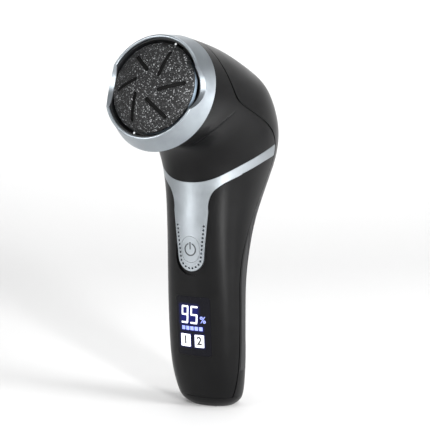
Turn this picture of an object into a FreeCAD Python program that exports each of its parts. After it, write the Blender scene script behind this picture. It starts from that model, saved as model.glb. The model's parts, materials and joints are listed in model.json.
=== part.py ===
import FreeCAD, Part
import os
from math import atan2, cos, degrees, pi, radians, sin

# Electric callus remover, millimetres.  Z is up and the origin is on the base plane, under the handle.
# The display, the power button and the grinding disc face -Y.  Head pieces are made in the head's own
# frame (local +Z is the spin axis, out of the disc) and then placed by in_head().

# ---- driving dimensions ----
HEAD_TILT = 19.0                     # spin axis above the horizontal, degrees
RIM_CENTRE = (0.0, -46.0, 142.5)     # centre of the ring's front edge
WALL = 2.0                           # moulded wall
SEAM = 0.16                          # gap along the seams between mouldings
REAR_GROOVE = 0.45                   # width and depth of the step along the rear cover's edge
FLOOR = 2.2                          # thickness of the bottom
AROUND = 32                          # control points round each section

# Outer skin: front point (y, z), rear point (y, z), half width and corner fullness (2 is an ellipse).
STATIONS = [
    (-4.6, 0.0, 10.4, 0.0, 10.2, 2.1),         # flat foot
    (-7.7, 2.4, 12.0, 2.4, 13.4, 2.2),
    (-9.9, 7.5, 11.8, 7.0, 15.5, 2.25),
    (-12.8, 20.0, 10.8, 20.0, 17.4, 2.25),     # palm
    (-14.3, 40.0, 10.0, 40.0, 17.9, 2.25),     # display
    (-15.6, 60.0, 11.6, 60.0, 18.0, 2.25),
    (-16.5, 80.0, 18.8, 81.5, 19.0, 2.25),     # neck
    (-16.8, 95.0, 28.8, 98.5, 21.2, 2.25),
    (-17.6, 105.0, 34.5, 110.0, 23.6, 2.2),
    (-19.8, 111.0, 36.0, 121.5, 25.0, 2.2),    # shoulder
    (-24.0, 115.5, 33.2, 133.0, 25.4, 2.15),
    (-29.0, 117.5, 25.0, 144.5, 25.6, 2.1),
    (-34.0, 118.0, 10.0, 152.3, 25.5, 2.05),
    (-39.0, 117.4, -8.6, 159.2, 25.4, 2.0),
    (-45.78, 115.56, -29.24, 163.6, 25.4, 2.0),    # seat of the ring, a circle
]
UNDER_FOOT = (-3.0, -3.0, 8.8, -3.0, 8.6, 2.1)     # the skin run on past its ends, for inner cutters
INSIDE_RING = (-48.62, 116.54, -32.08, 164.58, 25.4, 2.0)

# Side view (y, z) of the seams.
REAR_SEAM = [(-22.6, 170.0), (-24.1, 161.3), (-25.8, 154.3), (-24.4, 145.8), (-18.7, 136.2),
             (-11.6, 132.6), (-2.0, 128.6), (8.0, 124.0), (15.6, 115.8), (14.8, 106.0),
             (7.4, 90.0), (1.0, 77.5), (-3.0, 66.0), (-4.0, 45.0), (-3.6, 20.0), (-3.0, -6.0)]
BAND_TOP = [(-40.0, 97.0), (-24.0, 96.6), (-17.4, 100.2), (-11.6, 105.0), (-0.9, 110.8),
            (15.2, 115.6), (30.0, 118.5)]
BAND_BOTTOM = [(-24.0, 88.0), (-16.2, 94.6), (-12.0, 100.5), (-4.9, 104.7), (5.0, 108.4),
               (17.2, 111.0), (30.0, 112.6)]

# Front view (x, z) of the tongue that hangs from the band.
TONGUE_TIP_RADIUS = 6.4
TONGUE_TIP_Z = 61.6
TONGUE_FLARE = [(8.6, 88.0), (9.1, 93.6), (11.6, 97.9), (15.4, 100.8), (20.0, 104.0)]
PIT_RADIUS = 0.48
PIT_PITCH = 1.7
PIT_INSET = 1.3
PIT_DEPTH = 1.5
PITS_PER_SIDE = 8
THUMB_DIP_WIDTH = 15.6
THUMB_DIP_HEIGHT = 19.0
THUMB_DIP_RISE = 7.6                 # its middle above the tongue's tip
THUMB_DIP_DEPTH = 0.7

BUTTON_WIDTH = 9.0
BUTTON_HEIGHT = 11.6
BUTTON_Z = 71.2
BUTTON_GAP = 0.12
SYMBOL_RADIUS = 2.6
SYMBOL_LINE = 0.5
SYMBOL_GAP = 0.8                     # half width of the ring's opening
SYMBOL_STROKE = 3.2                  # top of the upright stroke above the ring's centre
SYMBOL_DEPTH = 0.2

WINDOW_HALF_WIDTH = 8.5
WINDOW_Z = (24.0, 50.3)
WINDOW_CORNER = 1.3

BASE_SEAM_Z = 4.6
FLAP_HALF_WIDTH = 6.4
FLAP_Z = (5.8, 13.2)
FLAP_THICK = 1.1
SOCKET_Z = 9.3
PORT_HALF_WIDTH = 4.8
PORT_HALF_HEIGHT = 1.9
PLUG_HALF_WIDTH = 3.8                # tab of the flap that fills the socket's mouth
PLUG_HALF_HEIGHT = 1.1

GRIP_Z = (17.0, 91.0)
GRIP_THICK = 1.1
GRIP_AXIS_Y = -1.5
GRIP_BORDER = 1.6                    # strip of cover between the grip and the seam
RIB_STEP = 9.5                       # degrees between the grip's grooves
RIB_WIDTH = 0.8
RIB_DEPTH = 0.45
RIBS_PER_SIDE = 8
RIB_END = 4.0                        # plain border above and below the grooves

RING_DEPTH = 9.0
RING_BACK_RADIUS = 25.4
RING_LIP_RADIUS = 22.5
RING_BORE = 21.25
RING_LIP = 0.55                      # height of the rounded front edge
SPIGOT_RADIUS = 22.3                 # the part of the ring that plugs into the head
SPIGOT_Z = -10.2
SCALLOP_CHORD = 18.0
SCALLOP_DEPTH = 3.9

DISC_RADIUS = 19.4
DISC_EDGE_Z = -1.5                   # edge of the abrasive, just behind the rim plane
DOME_HEIGHT = 6.0
SHEET_THICK = 0.8
SLOT_COUNT = 6
SLOT_WIDTH = 1.8
SLOT_INNER = 6.4
SLOT_OUTER = 15.6
SLOT_SWEEP = 25.5                    # how far each slot leans round, degrees
SLOT_START = 40.7
PLATE_TOP_Z = -2.6
PLATE_THICK = 2.0
HUB_SIZE = 6.0
HUB_LOW_Z = -8.5
HUB_TOP_Z = -5.2
SHAFT_TIP_Z = -5.6

LIGHT_CIRCLE = 20.2
LIGHT_RADIUS = 0.5
LIGHT_ANGLE = 72.0
LIGHT_TIP_Z = -2.9
CUP_FLOOR_Z = -8.0
CUP_FLOOR = 1.2
CUP_BORE = 20.8
COLLAR_BORE = 6.2
CUP_SCREW_CIRCLE = 13.5
CUP_SCREW_ANGLES = (90, 210, 330)
CUP_SCREW_HEAD = 1.9
LIGHT_BOARD_THICK = 1.1

MOTOR_RADIUS = 12.0
MOTOR_FRONT_Z = -15.0
MOTOR_LENGTH = 28.0
CAN_WALL = 0.9
CAN_FRONT = 1.2
BUSH_RADIUS = 2.6
BUSH_TOP_Z = -13.1
ROTOR_RADIUS = 8.9
ROTOR_SLOTS = 5
COMMUTATOR_RADIUS = 3.2
SHAFT_RADIUS = 1.15
SHAFT_CLEARANCE = 0.05

BATTERY_RADIUS = 7.25
BATTERY_LENGTH = 50.0
BATTERY_Y = 0.2
BATTERY_Z = 14.0
BOARD_FRONT_Y = -8.6
BOARD_THICK = 1.2
BOARD_HALF_WIDTH = 9.0
BOARD_Z = (24.0, 81.0)
CHIP_SIZE = 7.0
CHIP_THICK = 1.0
CHIP_Z = 54.0
MODULE_HALF_WIDTH = 7.4
MODULE_THICK = 1.5
MODULE_INSET = 1.5
SWITCH_SIZE = 6.0
SWITCH_THICK = 2.8
PLUNGER_RADIUS = 1.6
PLUNGER_RISE = 0.8
STEM_RADIUS = 1.5                    # of the button, through its seal
STEM_Y = (-14.6, -12.8)
SEAL_Y = (-13.2, -12.6)
CHARGE_BOARD_Z = (6.4, 7.5)
CONTACT_HALF = 4.0
CONTACT_THICK = 0.5
CELL_NUB_RADIUS = 2.6
CELL_NUB_HEIGHT = 1.0

HOUSING_SCREW_X = 9.0
HOUSING_SCREW_Z = 86.0
SCREW_PILOT = 1.0                    # radius of the hole that a screw cuts its thread in
SCREW_HEAD_RADIUS = 2.0
SCREW_SEAT_Y = 12.0
FRONT_POST_RADIUS = 2.6
REAR_POST_RADIUS = 2.8
POST_MEET_Y = 5.1
POST_GAP = 0.1
POST_ROOT = 0.2                      # how far a post runs into the wall
CROSS_REACH = 1.4                    # half length of the cross in a screw head
CROSS_HALF_WIDTH = 0.35
CROSS_DEPTH = 0.7
BASE_SCREW_X = 7.0
BASE_SCREW_Y = 2.6
BASE_BOSS_RADIUS = 2.9

WIDE = 80.0                          # longer than the object is thick, for cutters
FRONT_STOP_Y = -5.0                  # where cutters that come in from the front stop
BELOW_Z = -5.0                       # where cutters of the underside start


# ---- small helpers ----
def vec(x, y, z):
    return FreeCAD.Vector(x, y, z)


def in_head(shape):
    placed = shape.copy()
    turn = FreeCAD.Rotation(vec(1, 0, 0), 90.0 - HEAD_TILT)
    placed.Placement = FreeCAD.Placement(vec(*RIM_CENTRE), turn)
    return placed


def cylinder(radius, z_from, z_to):
    return Part.makeCylinder(radius, z_to - z_from, vec(0, 0, z_from))


def tube(outer, inner, z_from, z_to):
    return cylinder(outer, z_from, z_to).cut(cylinder(inner, z_from - 1, z_to + 1))


def block(x_half, y_from, y_to, z_from, z_to):
    return Part.makeBox(2 * x_half, y_to - y_from, z_to - z_from, vec(-x_half, y_from, z_from))


def rod_y(radius, x, z, y_from, y_to):
    return Part.makeCylinder(radius, y_to - y_from, vec(x, y_from, z), vec(0, 1, 0))


def both_sides(shape):
    return [shape, shape.mirror(vec(0, 0, 0), vec(1, 0, 0))]


def fuse(shapes):
    return shapes[0].multiFuse(shapes[1:]).removeSplitter()


def polar(radius, angle):
    return vec(radius * cos(radians(angle)), radius * sin(radians(angle)), 0)


def curve(points):
    spline = Part.BSplineCurve()
    spline.interpolate(points)
    return spline.toShape()


def face_of(edges):
    return Part.Face(Part.Wire(Part.__sortEdges__(edges)))


# ---- outer skin ----
def section(station, inset):
    front_y, front_z, rear_y, rear_z, half_width, fullness = station
    front = vec(0, front_y, front_z)
    rear = vec(0, rear_y, rear_z)
    middle = (front + rear) * 0.5
    depth = (rear - front).normalize() * ((rear - front).Length / 2 - inset)
    width = half_width - inset
    stretch = 3 / (2 + cos(2 * pi / AROUND))     # control points stand outside the curve they shape
    points = []
    for step in range(AROUND):
        angle = pi / 2 + 2 * pi * step / AROUND
        across = abs(cos(angle)) ** (2 / fullness) * width * (1 if cos(angle) >= 0 else -1)
        along = abs(sin(angle)) ** (2 / fullness) * (1 if sin(angle) >= 0 else -1)
        points.append(middle + (depth * along + vec(across, 0, 0)) * stretch)
    return points


def between(before, start, end, after, share):
    # Catmull-Rom blend of one value, share running 0 to 1 from start to end
    slope_in = (end - before) / 2
    slope_out = (after - start) / 2
    drift = end - start
    curve_two = 3 * drift - 2 * slope_in - slope_out
    curve_three = slope_in + slope_out - 2 * drift
    return start + share * (slope_in + share * (curve_two + share * curve_three))


def blended(stations, steps=3):
    last = len(stations) - 1
    rows = []
    for index in range(last):
        around = [stations[min(max(index + k, 0), last)] for k in (-1, 0, 1, 2)]
        for step in range(steps):
            rows.append(tuple(between(*values, step / steps) for values in zip(*around)))
    return rows + [stations[last]]


def tube_through(stations, inset):
    rows = [section(station, inset) for station in blended(stations)]
    spans = len(rows) - 3
    surface = Part.BSplineSurface()
    surface.buildFromPolesMultsKnots(
        rows, [4] + [1] * (spans - 1) + [4], [1] * (AROUND + 1),
        list(range(spans + 1)), list(range(AROUND + 1)), False, True, 3, 3)
    side = surface.toShape()
    rims = [edge for edge in side.Edges if edge.Closed]
    caps = [Part.Face(Part.Wire(edge)) for edge in rims]
    shell = Part.makeShell([side] + caps)
    shell.sewShape()
    solid = Part.Solid(Part.Shell(shell.Faces))
    if solid.Volume < 0:
        solid.reverse()
    return solid


def skin_solid():
    return tube_through(STATIONS, 0)


def inner_solid(inset):
    return tube_through([UNDER_FOOT] + STATIONS + [INSIDE_RING], inset)


def skin_layer(thickness):
    return skin_solid().cut(inner_solid(thickness))


def hollow_shell():
    cavity = inner_solid(WALL).cut(block(WIDE, -WIDE, WIDE, BELOW_Z, FLOOR))
    return skin_solid().cut(cavity)


# ---- seam cutters ----
def side_prism(edges):
    return face_of(edges).extrude(vec(WIDE, 0, 0))


def seam_prism(seam, corners):
    points = [vec(-WIDE / 2, y, z) for y, z in seam]
    ends = [points[-1]] + [vec(-WIDE / 2, y, z) for y, z in corners] + [points[0]]
    edges = [curve(points)]
    edges += [Part.LineSegment(a, b).toShape() for a, b in zip(ends, ends[1:])]
    return side_prism(edges)


def behind_rear_seam(gap=0.0):
    return seam_prism(REAR_SEAM, [(90, -6), (90, 170)]).translated(vec(0, gap, gap))


def above_band(gap=0.0):
    return seam_prism(BAND_TOP, [(30, 190), (-70, 190), (-70, 97)]).translated(vec(0, 0, gap))


def below_band(gap=0.0):
    return seam_prism(BAND_BOTTOM, [(30, -5), (-70, -5), (-70, 88)]).translated(vec(0, 0, -gap))


def tongue_outline(grow=0.0):
    centre_z = TONGUE_TIP_Z + TONGUE_TIP_RADIUS
    radius = TONGUE_TIP_RADIUS + grow
    depth = -WIDE
    sides = []
    for sign in (1, -1):
        flare = [vec(sign * (x + grow), depth, z) for x, z in TONGUE_FLARE]
        low = vec(sign * radius, depth, centre_z)
        sides.append((low, flare))
    (low_right, right), (low_left, left) = sides
    tip = Part.Arc(low_left, vec(0, depth, centre_z - radius), low_right).toShape()
    edges = [tip]
    edges.append(Part.LineSegment(low_right, right[0]).toShape())
    edges.append(curve(right))
    edges.append(Part.LineSegment(right[-1], left[-1]).toShape())
    edges.append(curve(left))
    edges.append(Part.LineSegment(left[0], low_left).toShape())
    return face_of(edges)


def tongue_prism(grow=0.0):
    return tongue_outline(grow).extrude(vec(0, WIDE, 0))


def stadium_prism(width, height, centre_z, y_from=-WIDE, y_to=FRONT_STOP_Y):
    radius = width / 2
    reach = height / 2 - radius
    low_z = centre_z - reach
    high_z = centre_z + reach
    low = [vec(-radius, y_from, low_z), vec(0, y_from, low_z - radius), vec(radius, y_from, low_z)]
    high = [vec(radius, y_from, high_z), vec(0, y_from, high_z + radius), vec(-radius, y_from, high_z)]
    edges = [
        Part.Arc(*low).toShape(),
        Part.LineSegment(low[2], high[0]).toShape(),
        Part.Arc(*high).toShape(),
        Part.LineSegment(high[2], low[0]).toShape(),
    ]
    return face_of(edges).extrude(vec(0, y_to - y_from, 0))


def window_prism(grow=0.0):
    low, high = WINDOW_Z
    box = block(WINDOW_HALF_WIDTH + grow, -WIDE, FRONT_STOP_Y, low - grow, high + grow)
    upright = [e for e in box.Edges if abs(e.tangentAt(e.FirstParameter).y) > 0.9]
    return box.makeFillet(WINDOW_CORNER + grow, upright)


def flap_prism(grow=0.0):
    low, high = FLAP_Z
    return block(FLAP_HALF_WIDTH + grow, 5, WIDE, low - grow, high + grow)


def grip_prism(grow=0.0):
    low, high = GRIP_Z
    region = behind_rear_seam().translated(vec(0, GRIP_BORDER - grow, 0))
    return region.common(block(WIDE / 2, -WIDE, WIDE, low - grow, high + grow))


# ---- mouldings of the body ----
def front_shell(shell):
    return shell.cut(behind_rear_seam(-SEAM))


def head_housing(shell):
    return front_shell(shell).common(above_band(SEAM))


def trim_band(shell):
    strip = front_shell(shell).cut(above_band())
    band = strip.cut(below_band())
    tongue = strip.common(tongue_prism())
    whole = fuse([band, tongue])
    return whole.cut(button_pocket()).cut(edge_pits())


def edge_pits():
    row = TONGUE_TIP_RADIUS - PIT_INSET
    centre_z = TONGUE_TIP_Z + TONGUE_TIP_RADIUS
    tip_steps = int(pi * row / PIT_PITCH)
    spots = []
    for step in range(tip_steps + 1):
        angle = pi + pi * step / tip_steps
        spots.append((row * cos(angle), centre_z + row * sin(angle)))
    lean = (TONGUE_FLARE[0][0] - TONGUE_TIP_RADIUS) / (TONGUE_FLARE[0][1] - centre_z)
    for step in range(1, PITS_PER_SIDE + 1):
        rise = step * PIT_PITCH
        for sign in (1, -1):
            spots.append((sign * (row + rise * lean), centre_z + rise))
    rods = [rod_y(PIT_RADIUS, x, z, -WIDE, FRONT_STOP_Y) for x, z in spots]
    return skin_layer(PIT_DEPTH).common(Part.makeCompound(rods))


def handle_shell(shell):
    side = front_shell(shell).common(below_band(SEAM))
    side = side.cut(tongue_prism(SEAM))
    side = side.cut(window_prism(SEAM / 2))
    return side.cut(above_base()).cut(thumb_dip()).cut(button_pocket())


def above_base():
    return block(WIDE / 2, -WIDE, WIDE, BELOW_Z, BASE_SEAM_Z + SEAM)


def thumb_dip():
    # a shallow crescent below the tongue's tip, so that the tip stands clear
    dip = stadium_prism(THUMB_DIP_WIDTH, THUMB_DIP_HEIGHT, TONGUE_TIP_Z + THUMB_DIP_RISE)
    return dip.common(skin_layer(THUMB_DIP_DEPTH))


def button_pocket():
    return stadium_prism(BUTTON_WIDTH, BUTTON_HEIGHT, BUTTON_Z)


def handle_with_posts(shell):
    body = handle_shell(shell)
    posts = []
    for x in (-HOUSING_SCREW_X, HOUSING_SCREW_X):
        post = rod_y(FRONT_POST_RADIUS, x, HOUSING_SCREW_Z, -30, POST_MEET_Y - POST_GAP)
        post = post.common(inner_solid(WALL - POST_ROOT))
        posts.append(post.cut(rod_y(SCREW_PILOT, x, HOUSING_SCREW_Z, -6.0, 6.0)))
    # each post stops on the inside of the wall, which the trim's tongue leaves to the handle here
    posts = [post.cut(tongue_prism(SEAM).common(skin_layer(WALL + 0.3))) for post in posts]
    return fuse([body] + posts)


def lipped_cover(shell):
    # the outer layer stands back from the seam, and the inner layer closes the gap behind it
    outside = shell.common(behind_rear_seam(REAR_GROOVE))
    lip = shell.common(behind_rear_seam()).common(inner_solid(REAR_GROOVE))
    return outside.fuse(lip)


def rear_cover(shell):
    cover = lipped_cover(shell).cut(above_base())
    for x in (-HOUSING_SCREW_X, HOUSING_SCREW_X):
        post = rod_y(REAR_POST_RADIUS, x, HOUSING_SCREW_Z, POST_MEET_Y, 40)
        cover = cover.fuse(post.common(inner_solid(WALL - POST_ROOT)))
        cover = cover.cut(rod_y(SCREW_HEAD_RADIUS + 0.2, x, HOUSING_SCREW_Z, SCREW_SEAT_Y, WIDE))
        cover = cover.cut(rod_y(SCREW_PILOT + 0.25, x, HOUSING_SCREW_Z, 0, SCREW_SEAT_Y + 1))
    cover = cover.cut(grip_prism(0.06).common(skin_layer(GRIP_THICK + 0.05)))
    cover = cover.cut(flap_prism(0.12).common(skin_layer(FLAP_THICK + 0.1)))
    slot = block(PORT_HALF_WIDTH, 5, WIDE, SOCKET_Z - PORT_HALF_HEIGHT, SOCKET_Z + PORT_HALF_HEIGHT)
    return cover.cut(slot).removeSplitter()


def rear_grip():
    pad = skin_layer(GRIP_THICK).common(grip_prism())
    grooves = []
    low, high = GRIP_Z
    length = high - low - 2 * RIB_END
    for step in range(-RIBS_PER_SIDE, RIBS_PER_SIDE + 1):
        slab = Part.makeBox(RIB_WIDTH, WIDE, length, vec(-RIB_WIDTH / 2, 0, low + RIB_END))
        slab.rotate(vec(0, 0, 0), vec(0, 0, 1), -step * RIB_STEP)
        slab.translate(vec(0, GRIP_AXIS_Y, 0))
        grooves.append(slab)
    return pad.cut(skin_layer(RIB_DEPTH).common(Part.makeCompound(grooves)))


def base_cap(shell):
    cap = shell.common(block(WIDE / 2, -WIDE, WIDE, -1, BASE_SEAM_Z))
    for x in (-BASE_SCREW_X, BASE_SCREW_X):
        spot = vec(x, BASE_SCREW_Y, 0)
        cap = cap.fuse(Part.makeCylinder(BASE_BOSS_RADIUS, BASE_SEAM_Z - 0.4, spot + vec(0, 0, 0.4)))
        cap = cap.cut(Part.makeCylinder(SCREW_HEAD_RADIUS + 0.15, 2.6, spot + vec(0, 0, -1)))
        cap = cap.cut(Part.makeCylinder(SCREW_PILOT + 0.05, 8, spot))
    return cap.removeSplitter()


def port_flap():
    pad = skin_layer(FLAP_THICK).common(flap_prism())
    plug = block(PLUG_HALF_WIDTH, 8.6, 11.2, SOCKET_Z - PLUG_HALF_HEIGHT, SOCKET_Z + PLUG_HALF_HEIGHT)
    return fuse([pad, plug.common(inner_solid(FLAP_THICK - 0.2))])


# ---- display, button and electronics ----
def display_window(shell):
    return shell.common(window_prism())


def display_module():
    low, high = WINDOW_Z
    front = BOARD_FRONT_Y - MODULE_THICK
    return block(MODULE_HALF_WIDTH, front, BOARD_FRONT_Y, low + MODULE_INSET, high - MODULE_INSET)


def main_board():
    board = block(BOARD_HALF_WIDTH, BOARD_FRONT_Y, BOARD_FRONT_Y + BOARD_THICK, *BOARD_Z)
    chip = block(CHIP_SIZE / 2, BOARD_FRONT_Y - CHIP_THICK, BOARD_FRONT_Y, CHIP_Z, CHIP_Z + CHIP_SIZE)
    return fuse([board, chip])


def power_switch():
    half = SWITCH_SIZE / 2
    top = BOARD_FRONT_Y - SWITCH_THICK
    base = block(half, top, BOARD_FRONT_Y, BUTTON_Z - half, BUTTON_Z + half)
    plunger = rod_y(PLUNGER_RADIUS, 0, BUTTON_Z, top - PLUNGER_RISE, top + 0.1)
    return fuse([base, plunger])


def power_button(shell):
    trim = 2 * BUTTON_GAP
    cap = shell.common(stadium_prism(BUTTON_WIDTH - trim, BUTTON_HEIGHT - trim, BUTTON_Z))
    stem = rod_y(STEM_RADIUS, 0, BUTTON_Z, *STEM_Y)
    return fuse([cap, stem]).cut(power_symbol())


def power_symbol():
    half = SYMBOL_LINE / 2
    ring = rod_y(SYMBOL_RADIUS + half, 0, BUTTON_Z, -WIDE, FRONT_STOP_Y)
    ring = ring.cut(rod_y(SYMBOL_RADIUS - half, 0, BUTTON_Z, -WIDE, FRONT_STOP_Y))
    ring = ring.cut(block(SYMBOL_GAP, -WIDE, FRONT_STOP_Y, BUTTON_Z, BUTTON_Z + 5))
    stroke = block(half, -WIDE, FRONT_STOP_Y, BUTTON_Z + 0.2, BUTTON_Z + SYMBOL_STROKE)
    return skin_layer(SYMBOL_DEPTH).common(Part.makeCompound([ring, stroke]))


def button_seal():
    sheet = stadium_prism(BUTTON_WIDTH + 4.0, BUTTON_HEIGHT + 4.4, BUTTON_Z, *SEAL_Y)
    return sheet.cut(rod_y(STEM_RADIUS + 0.12, 0, BUTTON_Z, -20, FRONT_STOP_Y))


def battery_cell():
    can_length = BATTERY_LENGTH - CELL_NUB_HEIGHT
    can = Part.makeCylinder(BATTERY_RADIUS, can_length, vec(0, BATTERY_Y, BATTERY_Z))
    nub = Part.makeCylinder(CELL_NUB_RADIUS, CELL_NUB_HEIGHT, vec(0, BATTERY_Y, BATTERY_Z + can_length))
    return fuse([can, nub])


def battery_contacts():
    plates = []
    for low in (BATTERY_Z - CONTACT_THICK, BATTERY_Z + BATTERY_LENGTH):
        plates.append(block(CONTACT_HALF, BATTERY_Y - CONTACT_HALF, BATTERY_Y + CONTACT_HALF,
                            low, low + CONTACT_THICK))
    return Part.makeCompound(plates)


def battery_cradle():
    top = BATTERY_Z + BATTERY_LENGTH
    frame = block(8.7, -5.5, 6.0, BATTERY_Z - 2, top + 2)
    well = Part.makeCylinder(BATTERY_RADIUS + 0.1, BATTERY_LENGTH + 2 * CONTACT_THICK,
                             vec(0, BATTERY_Y, BATTERY_Z - CONTACT_THICK))
    return frame.cut(well)


def charge_board():
    return block(7.0, -6.0, 7.6, *CHARGE_BOARD_Z)


def charging_socket():
    body = block(4.5, 2.2, 9.4, 7.5, 11.1)
    mouth = block(4.1, 3.4, 9.9, 8.0, 10.6)
    tongue = block(3.3, 3.0, 8.3, SOCKET_Z - 0.35, SOCKET_Z + 0.35)
    return fuse([body.cut(mouth), tongue])


def cross_drive(depth_axis_box):
    upright = depth_axis_box(CROSS_HALF_WIDTH, CROSS_REACH)
    return upright.fuse(depth_axis_box(CROSS_REACH, CROSS_HALF_WIDTH))


def housing_screws():
    screws = []
    head_top = SCREW_SEAT_Y + 1.4
    for x in (-HOUSING_SCREW_X, HOUSING_SCREW_X):
        shank = rod_y(SCREW_PILOT - 0.02, x, HOUSING_SCREW_Z, -4.0, SCREW_SEAT_Y + 0.2)
        head = rod_y(SCREW_HEAD_RADIUS, x, HOUSING_SCREW_Z, SCREW_SEAT_Y, head_top)
        drive = cross_drive(lambda across, up: block(
            across, head_top - CROSS_DEPTH, head_top + 1, HOUSING_SCREW_Z - up, HOUSING_SCREW_Z + up))
        screws.append(fuse([shank, head]).cut(drive.translated(vec(x, 0, 0))))
    return Part.makeCompound(screws)


def base_screws():
    screws = []
    low = 0.3
    for x in (-BASE_SCREW_X, BASE_SCREW_X):
        spot = vec(x, BASE_SCREW_Y, 0)
        head = Part.makeCylinder(SCREW_HEAD_RADIUS, 1.3, spot + vec(0, 0, low))
        shank = Part.makeCylinder(SCREW_PILOT, 4.6, spot + vec(0, 0, 1.5))
        drive = cross_drive(lambda across, deep: block(across, -deep, deep, low - 1, low + CROSS_DEPTH))
        screws.append(fuse([head, shank]).cut(drive.translated(spot)))
    return Part.makeCompound(screws)


# ---- head: ring, cup and lights ----
def revolved(points):
    corners = [vec(radius, 0, z) for radius, z in points]
    outline = Part.makePolygon(corners + [corners[0]])
    return Part.Face(outline).revolve(vec(0, 0, 0), vec(0, 0, 1), 360)


def head_ring():
    lip = RING_LIP
    slope = (RING_BACK_RADIUS - RING_LIP_RADIUS) / RING_DEPTH
    crown = vec((RING_BORE + RING_LIP_RADIUS) / 2, 0, lip / 2)
    inner = vec(RING_BORE, 0, -lip)
    outer = vec(RING_LIP_RADIUS + slope * lip, 0, -lip)
    back = [(RING_BACK_RADIUS, -RING_DEPTH + SEAM), (SPIGOT_RADIUS, -RING_DEPTH + SEAM),
            (SPIGOT_RADIUS, SPIGOT_Z), (RING_BORE, SPIGOT_Z)]
    corners = [outer] + [vec(radius, 0, z) for radius, z in back] + [inner]
    edges = [Part.Arc(inner, crown, outer).toShape()]
    edges += [Part.LineSegment(a, b).toShape() for a, b in zip(corners, corners[1:])]
    ring = face_of(edges).revolve(vec(0, 0, 0), vec(0, 0, 1), 360)
    return in_head(ring.cut(scallop()))


def scallop():
    half = SCALLOP_CHORD / 2
    radius = (half * half + SCALLOP_DEPTH * SCALLOP_DEPTH) / (2 * SCALLOP_DEPTH)
    start = vec(-WIDE / 2, 0, radius - SCALLOP_DEPTH)
    return Part.makeCylinder(radius, WIDE, start, vec(1, 0, 0))


def ring_seal():
    band = tube(SPIGOT_RADIUS + 0.9, SPIGOT_RADIUS + 0.05, SPIGOT_Z + 0.1, SPIGOT_Z + 1.0)
    return in_head(band).common(inner_solid(WALL + 0.05))


def dust_cup():
    outside = RING_BORE - 0.05
    low = CUP_FLOOR_Z - CUP_FLOOR
    wall = tube(outside, CUP_BORE, low, -1.2).cut(scallop())
    floor = tube(outside, COLLAR_BORE, low, CUP_FLOOR_Z)
    collar = tube(COLLAR_BORE + 1.0, COLLAR_BORE, low, -6.2)
    cup = fuse([floor, wall, collar])
    for spot in light_spots():
        cup = cup.cut(Part.makeCylinder(LIGHT_RADIUS + 0.02, 4, spot + vec(0, 0, -11)))
    return in_head(cup.cut(Part.makeCompound(cup_screw_shanks(SCREW_PILOT))))


def light_spots():
    return [polar(LIGHT_CIRCLE, LIGHT_ANGLE), polar(LIGHT_CIRCLE, LIGHT_ANGLE + 180)]


def light_pins():
    pins = []
    for spot in light_spots():
        low = CUP_FLOOR_Z - CUP_FLOOR
        stem = Part.makeCylinder(LIGHT_RADIUS, LIGHT_TIP_Z - low, spot + vec(0, 0, low))
        tip = Part.makeSphere(LIGHT_RADIUS, spot + vec(0, 0, LIGHT_TIP_Z))
        pins.append(fuse([stem, tip]))
    return in_head(Part.makeCompound(pins))


def light_board():
    high = CUP_FLOOR_Z - CUP_FLOOR
    board = tube(RING_BORE - 0.35, 8.0, high - LIGHT_BOARD_THICK, high)
    return in_head(board.cut(Part.makeCompound(cup_screw_shanks(SCREW_PILOT))))


def cup_screw_shanks(radius):
    shanks = []
    for angle in CUP_SCREW_ANGLES:
        spot = polar(CUP_SCREW_CIRCLE, angle)
        shanks.append(Part.makeCylinder(radius, 4.7, spot + vec(0, 0, CUP_FLOOR_Z - 4.7)))
    return shanks


def cup_screws():
    screws = []
    for shank, angle in zip(cup_screw_shanks(SCREW_PILOT - 0.02), CUP_SCREW_ANGLES):
        spot = polar(CUP_SCREW_CIRCLE, angle) + vec(0, 0, CUP_FLOOR_Z)
        head = Part.makeCylinder(CUP_SCREW_HEAD, 1.1, spot)
        drive = block(1.3, -0.3, 0.3, 0.6, 1.2).translated(spot)
        screws.append(fuse([shank, head]).cut(drive))
    return in_head(Part.makeCompound(screws))


# ---- head: drive ----
def motor_cradle():
    back = MOTOR_FRONT_Z - MOTOR_LENGTH - 2
    flange = tube(22.6, 4.2, -13.0, -10.9)
    sleeve = tube(MOTOR_RADIUS + 1.7, MOTOR_RADIUS + 0.1, back, -12.9)
    cradle = fuse([flange, sleeve]).cut(Part.makeCompound(cup_screw_shanks(SCREW_PILOT)))
    slit = Part.makeBox(WIDE, 5, 12, vec(-WIDE / 2, -2.5, back + 2))
    return in_head(cradle.cut(slit)).common(inner_solid(WALL + 0.1))


def motor_can():
    back = MOTOR_FRONT_Z - MOTOR_LENGTH
    can = cylinder(MOTOR_RADIUS, back, MOTOR_FRONT_Z)
    can = can.cut(cylinder(MOTOR_RADIUS - CAN_WALL, back - 1, MOTOR_FRONT_Z - CAN_FRONT))
    boss = cylinder(BUSH_RADIUS + 1.2, MOTOR_FRONT_Z - CAN_FRONT, BUSH_TOP_Z + 0.1)
    return in_head(fuse([can, boss]).cut(cylinder(BUSH_RADIUS, back, 0)))


def front_bush():
    return in_head(tube(BUSH_RADIUS, SHAFT_RADIUS + SHAFT_CLEARANCE, MOTOR_FRONT_Z - CAN_FRONT, BUSH_TOP_Z))


def motor_magnets():
    z_from = MOTOR_FRONT_Z - 24
    ring = tube(MOTOR_RADIUS - CAN_WALL - 0.05, ROTOR_RADIUS + 0.4, z_from, MOTOR_FRONT_Z - 5)
    gap = Part.makeBox(WIDE, 7, WIDE, vec(-WIDE / 2, -3.5, z_from - 10))
    return in_head(Part.makeCompound(ring.cut(gap).Solids))


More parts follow.
